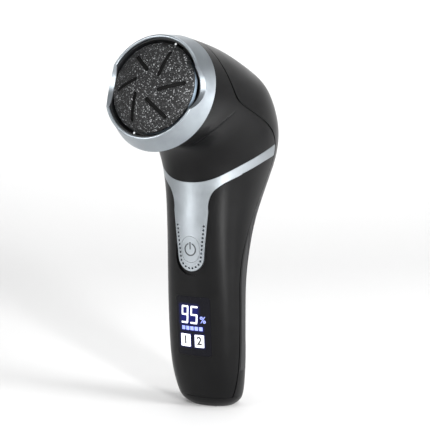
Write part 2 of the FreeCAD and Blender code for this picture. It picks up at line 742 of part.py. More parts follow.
def motor_end_cap():
    back = MOTOR_FRONT_Z - MOTOR_LENGTH
    plate = tube(MOTOR_RADIUS, SHAFT_RADIUS + SHAFT_CLEARANCE, back - 2.0, back)
    plug = tube(MOTOR_RADIUS - CAN_WALL - 0.05, 6.0, back, back + 1.5)
    boss = tube(3.4, SHAFT_RADIUS + SHAFT_CLEARANCE, back - 3.5, back - 2.0)
    return in_head(fuse([plate, plug, boss]))


def motor_terminals():
    back = MOTOR_FRONT_Z - MOTOR_LENGTH - 2.0
    tab = Part.makeBox(2.4, 0.5, 4.0, vec(6.0, -0.25, back - 4.0))
    return in_head(Part.makeCompound(both_sides(tab)))


def motor_rotor():
    low = MOTOR_FRONT_Z - 23
    core = tube(ROTOR_RADIUS, SHAFT_RADIUS, low, MOTOR_FRONT_Z - 6)
    for step in range(ROTOR_SLOTS):
        slot = Part.makeBox(6, 1.6, 30, vec(ROTOR_RADIUS / 2, -0.8, MOTOR_FRONT_Z - 30))
        slot.rotate(vec(0, 0, 0), vec(0, 0, 1), step * 360 / ROTOR_SLOTS)
        core = core.cut(slot)
    commutator = tube(COMMUTATOR_RADIUS, SHAFT_RADIUS, low - 3.5, low)
    return in_head(fuse([core, commutator]))


def motor_shaft():
    return in_head(cylinder(SHAFT_RADIUS, MOTOR_FRONT_Z - MOTOR_LENGTH - 3.2, SHAFT_TIP_Z))


def shaft_seal():
    return in_head(tube(7.5, SHAFT_RADIUS + SHAFT_CLEARANCE, -10.8, CUP_FLOOR_Z - CUP_FLOOR - 0.1))


def drive_hub():
    half = HUB_SIZE / 2
    hub = block(half, -half, half, HUB_LOW_Z, HUB_TOP_Z)
    upright = [e for e in hub.Edges if abs(e.tangentAt(e.FirstParameter).z) > 0.9]
    hub = hub.makeChamfer(0.7, upright)
    return in_head(hub.cut(cylinder(SHAFT_RADIUS, HUB_LOW_Z - 1, SHAFT_TIP_Z)))


# ---- head: grinding disc, lifted off as one ----
def dome_radius():
    return (DISC_RADIUS * DISC_RADIUS + DOME_HEIGHT * DOME_HEIGHT) / (2 * DOME_HEIGHT)


def dome(radius_offset, disc_radius, z_from):
    top = DISC_EDGE_Z + DOME_HEIGHT
    ball = Part.makeSphere(dome_radius() + radius_offset, vec(0, 0, top - dome_radius()))
    return ball.common(cylinder(disc_radius, z_from, 20))


def slot_cutter(angle):
    inner = polar(SLOT_INNER, angle)
    outer = polar(SLOT_OUTER, angle + SLOT_SWEEP)
    run = outer - inner
    bar = Part.makeBox(run.Length, SLOT_WIDTH, 30, vec(0, -SLOT_WIDTH / 2, -10))
    ends = [Part.makeCylinder(SLOT_WIDTH / 2, 30, vec(x, 0, -10)) for x in (0, run.Length)]
    slot = fuse([bar] + ends)
    slot.rotate(vec(0, 0, 0), vec(0, 0, 1), degrees(atan2(run.y, run.x)))
    return slot.translated(inner)


def abrasive_sheet():
    sheet = dome(0, DISC_RADIUS, -20).cut(dome(-SHEET_THICK, DISC_RADIUS + 1, -30))
    sheet = sheet.common(cylinder(DISC_RADIUS, -2.6, 20))
    for step in range(SLOT_COUNT):
        sheet = sheet.cut(slot_cutter(SLOT_START + step * 360 / SLOT_COUNT))
    return in_head(sheet)


def backing_pad():
    return in_head(dome(-SHEET_THICK, DISC_RADIUS - 0.5, PLATE_TOP_Z))


def disc_plate():
    low = PLATE_TOP_Z - PLATE_THICK
    plate = cylinder(DISC_RADIUS - 0.3, low, PLATE_TOP_Z)
    boss = cylinder(5.4, HUB_LOW_Z - 0.2, low)
    half = HUB_SIZE / 2 + 0.1
    socket = block(half, -half, half, HUB_LOW_Z - 0.5, HUB_TOP_Z + 0.1)
    return in_head(fuse([plate, boss]).cut(socket))


def build_all():
    shell = hollow_shell()
    return {
        "head_housing": head_housing(shell),
        "rear_cover": rear_cover(shell),
        "rear_grip": rear_grip(),
        "trim_band": trim_band(shell),
        "handle_shell": handle_with_posts(shell),
        "base_cap": base_cap(shell),
        "port_flap": port_flap(),
        "display_window": display_window(shell),
        "display_module": display_module(),
        "main_board": main_board(),
        "power_button": power_button(shell),
        "button_seal": button_seal(),
        "power_switch": power_switch(),
        "battery_cell": battery_cell(),
        "battery_cradle": battery_cradle(),
        "battery_contacts": battery_contacts(),
        "charge_board": charge_board(),
        "charging_socket": charging_socket(),
        "housing_screws": housing_screws(),
        "base_screws": base_screws(),
        "head_ring": head_ring(),
        "ring_seal": ring_seal(),
        "dust_cup": dust_cup(),
        "light_pins": light_pins(),
        "light_board": light_board(),
        "cup_screws": cup_screws(),
        "motor_cradle": motor_cradle(),
        "motor_can": motor_can(),
        "front_bush": front_bush(),
        "motor_magnets": motor_magnets(),
        "motor_end_cap": motor_end_cap(),
        "motor_terminals": motor_terminals(),
        "motor_rotor": motor_rotor(),
        "motor_shaft": motor_shaft(),
        "shaft_seal": shaft_seal(),
        "drive_hub": drive_hub(),
        "abrasive_sheet": abrasive_sheet(),
        "backing_pad": backing_pad(),
        "disc_plate": disc_plate(),
    }


os.makedirs("parts", exist_ok=True)
for node, shape in build_all().items():
    shape.exportStep("parts/" + node + ".step")
    box = shape.BoundBox
    print(node, len(shape.Solids), shape.isValid(), round(shape.Volume, 1),
          [round(v, 1) for v in (box.XMin, box.XMax, box.YMin, box.YMax, box.ZMin, box.ZMax)])
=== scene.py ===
import json
import math

import bmesh
import bpy
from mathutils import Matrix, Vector


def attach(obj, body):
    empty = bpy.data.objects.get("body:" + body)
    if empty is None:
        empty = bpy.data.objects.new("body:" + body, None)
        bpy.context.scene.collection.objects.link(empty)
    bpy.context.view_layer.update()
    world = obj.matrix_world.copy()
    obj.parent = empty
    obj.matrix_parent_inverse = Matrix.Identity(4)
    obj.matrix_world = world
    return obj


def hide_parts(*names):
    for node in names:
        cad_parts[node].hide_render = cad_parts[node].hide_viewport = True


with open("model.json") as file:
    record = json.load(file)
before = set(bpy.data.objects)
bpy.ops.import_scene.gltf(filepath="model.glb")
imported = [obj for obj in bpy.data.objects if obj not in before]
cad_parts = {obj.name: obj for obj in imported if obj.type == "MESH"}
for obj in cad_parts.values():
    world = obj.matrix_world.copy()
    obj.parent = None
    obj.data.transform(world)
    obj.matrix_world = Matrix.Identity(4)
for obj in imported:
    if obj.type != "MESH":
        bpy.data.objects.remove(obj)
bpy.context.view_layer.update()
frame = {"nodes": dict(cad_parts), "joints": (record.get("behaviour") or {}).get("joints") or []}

bpy.ops.object.select_all(action="DESELECT")
mm = 0.001
tiny = 0.01 * mm                     # closer than this counts as level
nodes = frame["nodes"]
scene = bpy.context.scene
print("frame loaded", len(nodes), "nodes")

# centre of the head's rim and the disc's axis, read from the joint that spins it
spin = next(joint for joint in frame["joints"] if joint["name"] == "disc_spin")
rimCentre = Vector(spin["pos_m"])
spinAxis = Vector(spin["axis"]).normalized()

camera = {"azimuth": 31, "elevation": 7, "distance": 0.700, "lens": 133.2, "sensor": 36, "clipStart": 0.01,
          "aim": (0.00207, 0.00124, 0.0845)}


def addCamera():
    az = math.radians(camera["azimuth"])
    el = math.radians(camera["elevation"])
    away = Vector((math.sin(az) * math.cos(el), -math.cos(az) * math.cos(el), math.sin(el)))
    bpy.ops.object.camera_add(location=Vector(camera["aim"]) + away * camera["distance"])
    cam = bpy.context.object
    cam.name = "mainCamera"
    cam.rotation_euler = (-away).to_track_quat("-Z", "Y").to_euler()
    cam.data.lens = camera["lens"]
    cam.data.sensor_width = camera["sensor"]
    cam.data.clip_start = camera["clipStart"]
    scene.camera = cam


addCamera()
print("camera placed")


# helpers that every material shares
def startMaterial(name):
    material = bpy.data.materials.new(name)
    material.use_nodes = True
    tree = material.node_tree
    shader = tree.nodes["Principled BSDF"]
    coords = tree.nodes.new("ShaderNodeTexCoord").outputs["Object"]
    return material, tree, shader, coords


def addNoise(tree, coords, size, detail=3.0, stretch=(1, 1, 1)):
    # size is the width of one blotch in metres
    mapping = tree.nodes.new("ShaderNodeMapping")
    mapping.inputs["Scale"].default_value = stretch
    noise = tree.nodes.new("ShaderNodeTexNoise")
    noise.inputs["Scale"].default_value = 1 / size
    noise.inputs["Detail"].default_value = detail
    tree.links.new(coords, mapping.inputs["Vector"])
    tree.links.new(mapping.outputs["Vector"], noise.inputs["Vector"])
    return noise.outputs["Fac"]


def addRamp(tree, value, stops):
    ramp = tree.nodes.new("ShaderNodeValToRGB")
    tree.links.new(value, ramp.inputs["Fac"])
    while len(ramp.color_ramp.elements) < len(stops):
        ramp.color_ramp.elements.new(0.5)
    for element, (place, color) in zip(ramp.color_ramp.elements, stops):
        element.position = place
        element.color = (*color, 1)
    return ramp.outputs["Color"]


def addRange(tree, value, low, high, fromLow=0.3, fromHigh=0.7):
    node = tree.nodes.new("ShaderNodeMapRange")
    node.inputs["From Min"].default_value = fromLow
    node.inputs["From Max"].default_value = fromHigh
    node.inputs["To Min"].default_value = low
    node.inputs["To Max"].default_value = high
    tree.links.new(value, node.inputs["Value"])
    return node.outputs["Result"]


def addMath(tree, operation, first, second=0.0, clamp=False):
    node = tree.nodes.new("ShaderNodeMath")
    node.operation = operation
    node.use_clamp = clamp
    for socket, value in zip(node.inputs, (first, second)):
        if isinstance(value, (int, float)):
            socket.default_value = value
        else:
            tree.links.new(value, socket)
    return node.outputs["Value"]


def addBump(tree, shader, height, depth, after=None):
    bump = tree.nodes.new("ShaderNodeBump")
    bump.inputs["Distance"].default_value = depth
    bump.inputs["Strength"].default_value = 1.0
    tree.links.new(height, bump.inputs["Height"])
    if after:
        tree.links.new(after, bump.inputs["Normal"])
    tree.links.new(bump.outputs["Normal"], shader.inputs["Normal"])


def softBox(tree, axes, centre, half, soft):
    # 1 inside a box drawn on the front, fading to 0 over the soft width outside it
    edges = []
    for axis, middle, reach in zip(axes, centre, half):
        away = addMath(tree, "ABSOLUTE", addMath(tree, "SUBTRACT", axis, middle))
        edges.append(addMath(tree, "MAXIMUM", addMath(tree, "SUBTRACT", away, reach), 0.0))
    squares = [addMath(tree, "MULTIPLY", edge, edge) for edge in edges]
    gap = addMath(tree, "SQRT", addMath(tree, "ADD", *squares))
    return addMath(tree, "SUBTRACT", 1.0, addMath(tree, "DIVIDE", gap, soft), True)


def splitAxes(tree, coords):
    split = tree.nodes.new("ShaderNodeSeparateXYZ")
    tree.links.new(coords, split.inputs["Vector"])
    return split.outputs["X"], split.outputs["Y"], split.outputs["Z"]


def moulded(name, look):
    # one recipe for plastics, rubbers and metals: blotchy tone, uneven gloss, fine grain
    material, tree, shader, coords = startMaterial(name)
    stretch = look.get("stretch", (1, 1, 1))
    broad = addNoise(tree, coords, look["blotch"], 4, stretch)
    tone = addRamp(tree, broad, [(0.3, look["dark"]), (0.7, look["light"])])
    tree.links.new(tone, shader.inputs["Base Color"])
    tree.links.new(addRange(tree, broad, *look["rough"]), shader.inputs["Roughness"])
    addBump(tree, shader, addNoise(tree, coords, look["grain"], 2, stretch), look["grainDepth"])
    shader.inputs["Metallic"].default_value = look.get("metal", 0.0)
    shader.inputs["Specular IOR Level"].default_value = look.get("specular", 0.5)
    shader.inputs["Coat Weight"].default_value = look.get("coat", 0.0)
    shader.inputs["Coat Roughness"].default_value = 0.1
    return material, tree, shader, coords


plastics = {
    "bodyBlack": {"dark": (0.0018, 0.0018, 0.0020), "light": (0.0030, 0.0030, 0.0033), "blotch": 9 * mm,
                  "rough": (0.28, 0.34), "grain": 0.35 * mm, "grainDepth": 0.005 * mm, "specular": 0.17},
    "gripBlack": {"dark": (0.010, 0.010, 0.011), "light": (0.018, 0.018, 0.019), "blotch": 5 * mm,
                  "rough": (0.55, 0.68), "grain": 0.25 * mm, "grainDepth": 0.012 * mm},
    "sealRubber": {"dark": (0.012, 0.012, 0.012), "light": (0.022, 0.022, 0.022), "blotch": 4 * mm,
                   "rough": (0.6, 0.75), "grain": 0.2 * mm, "grainDepth": 0.015 * mm},
    "padBlack": {"dark": (0.002, 0.002, 0.002), "light": (0.004, 0.004, 0.004), "blotch": 3 * mm,
                 "rough": (0.8, 0.95), "grain": 0.3 * mm, "grainDepth": 0.03 * mm, "specular": 0.2},
    "cupBlack": {"dark": (0.006, 0.006, 0.007), "light": (0.011, 0.011, 0.012), "blotch": 6 * mm,
                 "rough": (0.38, 0.5), "grain": 0.3 * mm, "grainDepth": 0.006 * mm},
    "discGrey": {"dark": (0.19, 0.25, 0.31), "light": (0.27, 0.34, 0.41), "blotch": 5 * mm,
                 "rough": (0.35, 0.45), "grain": 0.3 * mm, "grainDepth": 0.006 * mm},
    "innerGrey": {"dark": (0.05, 0.05, 0.055), "light": (0.09, 0.09, 0.1), "blotch": 6 * mm,
                  "rough": (0.45, 0.6), "grain": 0.3 * mm, "grainDepth": 0.008 * mm},
    "magnetGrey": {"dark": (0.05, 0.05, 0.055), "light": (0.10, 0.10, 0.105), "blotch": 2 * mm,
                   "rough": (0.5, 0.65), "grain": 0.2 * mm, "grainDepth": 0.02 * mm},
    "batteryWrap": {"dark": (0.02, 0.09, 0.30), "light": (0.03, 0.13, 0.38), "blotch": 8 * mm,
                    "rough": (0.25, 0.35), "grain": 0.6 * mm, "grainDepth": 0.01 * mm, "coat": 0.4},
}
metals = {
    "trimSilver": {"dark": (0.31, 0.34, 0.36), "light": (0.38, 0.41, 0.44), "blotch": 7 * mm,
                   "rough": (0.30, 0.36), "grain": 0.18 * mm, "grainDepth": 0.002 * mm, "metal": 0.9},
    "ringSilver": {"dark": (0.31, 0.34, 0.37), "light": (0.38, 0.42, 0.45), "blotch": 8 * mm,
                   "rough": (0.31, 0.38), "grain": 0.12 * mm, "grainDepth": 0.0015 * mm, "metal": 1.0},
    "steel": {"dark": (0.42, 0.42, 0.43), "light": (0.60, 0.60, 0.61), "blotch": 3 * mm,
              "rough": (0.28, 0.42), "grain": 0.15 * mm, "grainDepth": 0.006 * mm, "metal": 1.0,
              "stretch": (1, 1, 0.1)},
    "brass": {"dark": (0.55, 0.38, 0.14), "light": (0.74, 0.55, 0.24), "blotch": 3 * mm,
              "rough": (0.25, 0.4), "grain": 0.15 * mm, "grainDepth": 0.006 * mm, "metal": 1.0},
}
finishes = {name: moulded(name, look)[0] for name, look in {**plastics, **metals}.items()}
print("plain finishes made", len(finishes))

nodesWith = {
    "bodyBlack": ["rear_cover", "handle_shell", "base_cap"],
    "gripBlack": ["rear_grip"],
    "sealRubber": ["port_flap", "button_seal", "ring_seal", "shaft_seal", "abrasive_sheet"],
    "padBlack": ["backing_pad"],
    "cupBlack": ["dust_cup"],
    "discGrey": ["disc_plate"],
    "innerGrey": ["power_switch", "display_module", "battery_cradle", "motor_cradle", "motor_end_cap"],
    "magnetGrey": ["motor_magnets"],
    "batteryWrap": ["battery_cell"],
    "trimSilver": ["trim_band"],
    "ringSilver": ["head_ring"],
    "steel": ["charging_socket", "housing_screws", "base_screws", "cup_screws", "motor_can", "motor_rotor",
              "motor_shaft", "drive_hub"],
    "brass": ["battery_contacts", "front_bush", "motor_terminals"],
}


def paint(piece, material):
    piece.data.materials.clear()
    piece.data.materials.append(material)


for finish, members in nodesWith.items():
    for node in members:
        paint(nodes[node], finishes[finish])

gritLook = {"grain": 0.36 * mm, "speck": 0.26 * mm, "depth": 0.05 * mm, "rough": 0.5, "specular": 0.3,
            "stops": [(0.0, (0.002, 0.002, 0.002)), (0.48, (0.005, 0.005, 0.0055)),
                      (0.72, (0.011, 0.0115, 0.012)), (0.90, (0.040, 0.041, 0.043)),
                      (1.0, (0.34, 0.35, 0.36))]}


def addCells(tree, coords, size):
    cells = tree.nodes.new("ShaderNodeTexVoronoi")
    cells.inputs["Scale"].default_value = 1 / size
    tree.links.new(coords, cells.inputs["Vector"])
    return cells.outputs


def makeGritMaterial():
    # one tone for each grain, and small facets between them
    material, tree, shader, coords = startMaterial("blackGrit")
    split = tree.nodes.new("ShaderNodeSeparateColor")
    tree.links.new(addCells(tree, coords, gritLook["grain"])["Color"], split.inputs["Color"])
    tree.links.new(addRamp(tree, split.outputs["Red"], gritLook["stops"]), shader.inputs["Base Color"])
    shader.inputs["Roughness"].default_value = gritLook["rough"]
    shader.inputs["Specular IOR Level"].default_value = gritLook["specular"]
    addBump(tree, shader, addCells(tree, coords, gritLook["speck"])["Distance"], gritLook["depth"])
    return material


# each halo is a centre, a half size and a soft edge, in millimetres across and up the front
windowLook = {"base": (0.0035, 0.0035, 0.006), "blotch": 6 * mm, "rough": (0.08, 0.13), "specular": 0.14,
              "glow": (0.02, 0.03, 0.60), "strength": 0.32, "cloud": 1.6 * mm, "cloudRange": (0.55, 1.0),
              "halos": [((-1.8, 42.0), (4.0, 3.6), 2.4), ((-0.6, 36.1), (5.2, 0.6), 1.6),
                        ((-3.9, 30.6), (2.7, 2.8), 0.9), ((3.0, 30.6), (2.3, 2.8), 0.9)]}


def makeWindowMaterial():
    # black gloss, with a blue glow round each lit figure
    material, tree, shader, coords = startMaterial("glossWindow")
    shader.inputs["Base Color"].default_value = (*windowLook["base"], 1)
    broad = addNoise(tree, coords, windowLook["blotch"])
    tree.links.new(addRange(tree, broad, *windowLook["rough"]), shader.inputs["Roughness"])
    shader.inputs["Specular IOR Level"].default_value = windowLook["specular"]
    x, y, z = splitAxes(tree, coords)
    glow = None
    for centre, half, soft in windowLook["halos"]:
        halo = softBox(tree, (x, z), [c * mm for c in centre], [h * mm for h in half], soft * mm)
        halo = addMath(tree, "MULTIPLY", halo, halo)
        glow = halo if glow is None else addMath(tree, "MAXIMUM", glow, halo)
    cloud = addRange(tree, addNoise(tree, coords, windowLook["cloud"]), *windowLook["cloudRange"])
    glow = addMath(tree, "MULTIPLY", glow, cloud)
    tree.links.new(addRamp(tree, glow, [(0.0, (0, 0, 0)), (1.0, windowLook["glow"])]),
                   shader.inputs["Emission Color"])
    shader.inputs["Emission Strength"].default_value = windowLook["strength"]
    return material


litLook = {"blotch": 1.2 * mm, "dim": 0.88, "rough": 0.3}


def makeLitMaterial(name, color, strength):
    material, tree, shader, coords = startMaterial(name)
    tone = addNoise(tree, coords, litLook["blotch"], 2)
    dim = tuple(channel * litLook["dim"] for channel in color)
    tree.links.new(addRamp(tree, tone, [(0.3, dim), (0.7, color)]), shader.inputs["Base Color"])
    shader.inputs["Roughness"].default_value = litLook["rough"]
    shader.inputs["Emission Color"].default_value = (*color, 1)
    shader.inputs["Emission Strength"].default_value = strength
    return material


symbolLook = {"centre": (0.0, 71.2), "radius": 2.6, "line": 0.62, "gapHalf": 0.8, "strokeTop": 3.2,
              "ink": (0.10, 0.105, 0.11)}


def makeButtonMaterial():
    # silver as the band, with the engraved power symbol filled in grey
    material, tree, shader, coords = moulded("buttonSilver", metals["trimSilver"])
    halfLine = symbolLook["line"] / 2 * mm
    x, y, z = splitAxes(tree, coords)
    across = addMath(tree, "SUBTRACT", x, symbolLook["centre"][0] * mm)
    rise = addMath(tree, "SUBTRACT", z, symbolLook["centre"][1] * mm)
    squares = addMath(tree, "ADD", addMath(tree, "MULTIPLY", across, across),
                      addMath(tree, "MULTIPLY", rise, rise))
    offRing = addMath(tree, "SUBTRACT", addMath(tree, "SQRT", squares), symbolLook["radius"] * mm)
    onRing = addMath(tree, "LESS_THAN", addMath(tree, "ABSOLUTE", offRing), halfLine)
    side = addMath(tree, "ABSOLUTE", across)
    above = addMath(tree, "GREATER_THAN", rise, 0.0)
    inGap = addMath(tree, "MULTIPLY", addMath(tree, "LESS_THAN", side, symbolLook["gapHalf"] * mm), above)
    ring = addMath(tree, "MULTIPLY", onRing, addMath(tree, "SUBTRACT", 1.0, inGap))
    stroke = addMath(tree, "MULTIPLY", addMath(tree, "LESS_THAN", side, halfLine), above)
    below = addMath(tree, "LESS_THAN", rise, symbolLook["strokeTop"] * mm)
    ink = addMath(tree, "MAXIMUM", ring, addMath(tree, "MULTIPLY", stroke, below))
    mix = tree.nodes.new("ShaderNodeMix")
    mix.data_type = "RGBA"
    silver = shader.inputs["Base Color"].links[0].from_socket
    tree.links.new(ink, mix.inputs["Factor"])
    tree.links.new(silver, mix.inputs["A"])
    mix.inputs["B"].default_value = (*symbolLook["ink"], 1)
    tree.links.new(mix.outputs["Result"], shader.inputs["Base Color"])
    return material


# the crease lies on a plane through the head, mirrored on the other cheek; lengths in millimetres
headCrease = {"normal": (0.5306, 0.3497, -0.7722), "offset": -95.58, "width": 0.75, "depth": 0.30,
              "fadeAcross": (7.0, 13.0), "fadeBack": (-24.0, -19.5)}


def makeHeadMaterial():
    # body black with the soft crease that runs forward under each cheek of the head
    material, tree, shader, coords = moulded("headBlack", plastics["bodyBlack"])
    x, y, z = splitAxes(tree, coords)
    side = addMath(tree, "ABSOLUTE", x)
    away = -headCrease["offset"] * mm
    for axis, share in zip((side, y, z), headCrease["normal"]):
        away = addMath(tree, "ADD", addMath(tree, "MULTIPLY", axis, share), away)
    away = addMath(tree, "ABSOLUTE", away)
    line = addMath(tree, "SUBTRACT", 1.0, addMath(tree, "DIVIDE", away, headCrease["width"] * mm), True)
    line = addMath(tree, "MULTIPLY", line, line)
    low, high = [edge * mm for edge in headCrease["fadeAcross"]]
    line = addMath(tree, "MULTIPLY", line, addRange(tree, side, 0.0, 1.0, low, high))
    low, high = [edge * mm for edge in headCrease["fadeBack"]]
    line = addMath(tree, "MULTIPLY", line, addRange(tree, y, 1.0, 0.0, low, high))
    grain = shader.inputs["Normal"].links[0].from_socket
    addBump(tree, shader, addMath(tree, "SUBTRACT", 1.0, line), headCrease["depth"] * mm, after=grain)
    return material


boardLook = {"scale": 260, "trackWidth": 0.03, "lacquer": ((0.006, 0.075, 0.028), (0.009, 0.095, 0.036)),
             "track": (0.02, 0.19, 0.08), "rough": 0.3, "relief": 0.02 * mm}


def makeBoardMaterial():
    # green lacquer crossed by fine tracks
    material, tree, shader, coords = startMaterial("boardGreen")
    tracks = tree.nodes.new("ShaderNodeTexBrick")
    tracks.inputs["Scale"].default_value = boardLook["scale"]
    tracks.inputs["Mortar Size"].default_value = boardLook["trackWidth"]
    tracks.inputs["Mortar"].default_value = (*boardLook["track"], 1)
    for socket, green in zip(("Color1", "Color2"), boardLook["lacquer"]):
        tracks.inputs[socket].default_value = (*green, 1)
    turn = tree.nodes.new("ShaderNodeMapping")
    turn.inputs["Rotation"].default_value = (math.radians(90), 0, 0)
    tree.links.new(coords, turn.inputs["Vector"])
    tree.links.new(turn.outputs["Vector"], tracks.inputs["Vector"])
    tree.links.new(tracks.outputs["Color"], shader.inputs["Base Color"])
    shader.inputs["Roughness"].default_value = boardLook["rough"]
    addBump(tree, shader, tracks.outputs["Fac"], boardLook["relief"])
    return material


# tipFrom is how far behind the rim the lit tip begins, in millimetres
lampLook = {"tipFrom": -2.75, "color": (0.95, 0.97, 1.0), "strength": 0.9}


def makeLampMaterial():
    # a dark stem whose tip alone is lit: the height is measured along the spin axis
    material, tree, shader, coords = moulded("lampLens", plastics["cupBlack"])
    along = tree.nodes.new("ShaderNodeVectorMath")
    along.operation = "DOT_PRODUCT"
    along.inputs[1].default_value = spinAxis
    tree.links.new(coords, along.inputs[0])
    out = addMath(tree, "SUBTRACT", along.outputs["Value"], rimCentre.dot(spinAxis))
    tip = addMath(tree, "GREATER_THAN", out, lampLook["tipFrom"] * mm)
    tree.links.new(addRamp(tree, tip, [(0.0, (0, 0, 0)), (1.0, lampLook["color"])]),
                   shader.inputs["Emission Color"])
    shader.inputs["Emission Strength"].default_value = lampLook["strength"]
    return material


boardGreen = makeBoardMaterial()
for node in ("main_board", "charge_board", "light_board"):
    paint(nodes[node], boardGreen)
paint(nodes["power_button"], makeButtonMaterial())
paint(nodes["display_window"], makeWindowMaterial())
paint(nodes["head_housing"], makeHeadMaterial())
paint(nodes["light_pins"], makeLampMaterial())
print("special finishes made")


# helpers for the new pieces
def pickOnly(piece):
    bpy.ops.object.select_all(action="DESELECT")
    piece.select_set(True)
    bpy.context.view_layer.objects.active = piece


def editAll(piece):
    pickOnly(piece)
    bpy.ops.object.mode_set(mode="EDIT")
    bpy.ops.mesh.select_all(action="SELECT")


def endEdit():
    bpy.ops.mesh.select_all(action="DESELECT")
    bpy.ops.object.mode_set(mode="OBJECT")


def selectWhere(piece, test):
    # in edit mode: only the vertices whose place passes the test
    bpy.ops.mesh.select_all(action="DESELECT")
    mesh = bmesh.from_edit_mesh(piece.data)
    for vertex in mesh.verts:
        vertex.select_set(test(vertex.co))
    mesh.select_flush_mode()
    bmesh.update_edit_mesh(piece.data)


def applyModifier(piece, kind, **settings):
    modifier = piece.modifiers.new(kind.lower(), kind)
    for key, value in settings.items():
        setattr(modifier, key, value)
    bpy.context.view_layer.objects.active = piece
    bpy.ops.object.modifier_apply(modifier=modifier.name)


def copyOfNode(node, name, weld):
    # a merged, editable copy of a CAD node
    source = nodes[node]
    piece = bpy.data.objects.new(name, source.data.copy())
    piece.data.name = name
    scene.collection.objects.link(piece)
    editAll(piece)
    bpy.ops.mesh.remove_doubles(threshold=weld)
    endEdit()
    return piece


gritSheet = {"weld": 0.001 * mm, "voxel": 0.23 * mm, "relief": 0.055 * mm, "uneven": 0.15, "seed": 11}


def makeGritSheet():
    # the CAD sheet again, with grains that stand out of its surface
    sheet = copyOfNode("abrasive_sheet", "grit_sheet", gritSheet["weld"])
    applyModifier(sheet, "REMESH", mode="VOXEL", voxel_size=gritSheet["voxel"], use_smooth_shade=True)
    bpy.ops.object.mode_set(mode="EDIT")
    bpy.ops.mesh.select_all(action="SELECT")
    bpy.ops.transform.vertex_random(offset=gritSheet["relief"], uniform=gritSheet["uneven"], normal=1.0,
                                    seed=gritSheet["seed"])
    bpy.ops.object.mode_set(mode="OBJECT")
    paint(sheet, makeGritMaterial())
    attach(sheet, "grinding_disc")
    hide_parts("abrasive_sheet")
    print("grit sheet", len(sheet.data.polygons), "faces")


makeGritSheet()

# all in millimetres on the front: x across, z up; the drawing plane and the ray start are in front of it
display = {
    "plane": -30, "rayFrom": -50, "lift": 0.03, "thick": 0.03,
    "digits": [("9", -6.0), ("5", -1.3)], "digitBase": 38.2, "digitHeight": 8.0, "digitWidth": 3.6,
    "line": 0.78, "gap": 0.18, "lean": 0.07,
    "percent": {"x": 5.0, "z": 40.1, "size": 4.2, "weight": 0.04},
    "cells": (-5.7, -3.5, -1.3, 0.9, 3.1), "cellWidth": 1.7, "cellBase": 35.3, "cellTop": 37.0,
    "cellCorner": 0.25,
    "cards": [(-6.5, -1.4), (0.8, 5.3)], "cardBase": 27.8, "cardTop": 33.4, "cardCorner": 0.3,
    "cardGrid": (10, 8), "cornerSteps": 4,
    "number": {"size": 5.0, "weight": 0.14, "lift": 0.10},
    "white": (0.92, 0.94, 1.0), "whiteStrength": 0.60,
    "blue": (0.30, 0.36, 0.95), "blueStrength": 0.45,
}
segmentsOf = {"9": "abcdfg", "5": "acdfg"}


def onPlane(x, z):
    return x * mm, display["plane"] * mm, z * mm


def segmentBar(x, z, length, width, upright):
    # a six-sided bar on the front: a hexagon whose two halves are pulled apart
    bpy.ops.object.select_all(action="DESELECT")
    bpy.ops.mesh.primitive_circle_add(vertices=6, radius=width / math.sqrt(3) * mm, fill_type="NGON")
    bar = bpy.context.object
    bpy.ops.object.mode_set(mode="EDIT")
    for sign in (1, -1):
        selectWhere(bar, lambda place: place.y * sign > tiny)
        bpy.ops.transform.translate(value=(0, sign * (length - width) / 2 * mm, 0))
    endEdit()
    bar.rotation_euler = (math.radians(90), 0 if upright else math.radians(90), 0)
    bar.location = onPlane(x, z)
    bpy.ops.object.transform_apply()
    return bar


def joinAll(parts, name):
    bpy.ops.object.select_all(action="DESELECT")
    for part in parts:
        part.select_set(True)
    bpy.context.view_layer.objects.active = parts[0]
    bpy.ops.object.join()
    whole = bpy.context.object
    whole.name = name
    return whole


def layOnWindow(piece, material, cuts=0, lift=0.0):
    # push the flat drawing back on to the glass and give it a little body
    if cuts:
        editAll(piece)
        bpy.ops.mesh.subdivide(number_cuts=cuts)
        endEdit()
    glass = nodes["display_window"]
    for vertex in piece.data.vertices:
        start = (vertex.co.x, display["rayFrom"] * mm, vertex.co.z)
        hit, place, normal, face = glass.ray_cast(start, (0, 1, 0))
        if hit:
            vertex.co.y = place.y - (display["lift"] + lift) * mm
    applyModifier(piece, "SOLIDIFY", thickness=display["thick"] * mm, offset=0)
    editAll(piece)
    bpy.ops.mesh.normals_make_consistent(inside=False)
    endEdit()
    paint(piece, material)
    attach(piece, "housing")


def makeDigits():
    bars = []
    width, line, base = display["digitWidth"], display["line"], display["digitBase"]
    half = display["digitHeight"] / 2
    across = width - display["gap"]
    upright = half - display["gap"]
    for digit, left in display["digits"]:
        middle = left + width / 2
        nearLeft = left + line / 2
        nearRight = left + width - line / 2
        upper = base + half * 1.5 - line / 4
        lower = base + half * 0.5 + line / 4
        places = {
            "a": (middle, base + half * 2 - line / 2, across, False),
            "g": (middle, base + half, across, False),
            "d": (middle, base + line / 2, across, False),
            "f": (nearLeft, upper, upright, True),
            "b": (nearRight, upper, upright, True),
            "c": (nearRight, lower, upright, True),
        }
        for key in segmentsOf[digit]:
            x, z, length, stands = places[key]
            bars.append(segmentBar(x, z, length, line, stands))
    digits = joinAll(bars, "display_digits")
    for vertex in digits.data.vertices:
        vertex.co.x += (vertex.co.z - base * mm) * display["lean"]
    return digits


def makeLabel(text, x, z, size, weight, name):
    bpy.ops.object.select_all(action="DESELECT")
    bpy.ops.object.text_add(location=onPlane(x, z), rotation=(math.radians(90), 0, 0))
    label = bpy.context.object
    label.data.body = text
    label.data.size = size * mm
    label.data.align_x = "CENTER"
    label.data.align_y = "CENTER"
    label.data.offset = weight * mm
    bpy.ops.object.convert(target="MESH")
    bpy.ops.object.transform_apply()
    label = bpy.context.object
    label.name = name
    return label


